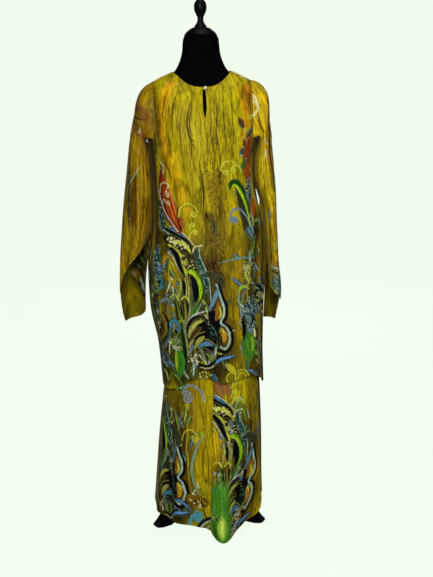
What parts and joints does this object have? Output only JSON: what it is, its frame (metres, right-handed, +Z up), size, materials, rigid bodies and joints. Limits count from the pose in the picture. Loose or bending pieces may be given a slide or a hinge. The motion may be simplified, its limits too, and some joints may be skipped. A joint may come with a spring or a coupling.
{
  "type": "baju kurung on a limbless dress form",
  "caption": "Long-sleeved knee-length tunic with a keyhole neck over an ankle-length pleated skirt, printed satin, worn by a padded black dress form on a tripod stand.",
  "frame": {"origin": "on the floor, under the middle of the whole object's box; the stand's pole is 10 mm to +X and 20 mm to +Y of it", "axes": "+Z up along the stand's pole, -Y towards the garment's front, +X to the right as seen from the front"},
  "size_m": [0.5149, 0.4484, 1.668],
  "materials": {
    "printed_satin": "olive and mustard printed satin with scrolls in teal, green, black and orange",
    "band_cloth": "plain matt cotton waistband",
    "form_jersey": "matt black jersey over padding",
    "black_wood": "black painted turned wood, satin",
    "jewel": "small faceted clear jewel in a pale setting",
    "thread": "worked thread loop"
  },
  "bodies": {
    "root": {"tunic_front": "printed_satin", "tunic_back": "printed_satin", "gore_left": "printed_satin", "gore_right": "printed_satin", "gusset_left": "printed_satin", "gusset_right": "printed_satin", "sleeve_left": "printed_satin", "sleeve_right": "printed_satin", "neck_button": "jewel", "button_loop": "thread", "skirt_front": "printed_satin", "skirt_back": "printed_satin", "skirt_waistband": "band_cloth", "form_torso": "form_jersey", "neck_cap": "black_wood", "finial": "black_wood", "pole": "black_wood", "base_hub": "black_wood", "leg_front_left": "black_wood", "leg_front_right": "black_wood", "leg_back": "black_wood"}
  },
  "joints": []
}
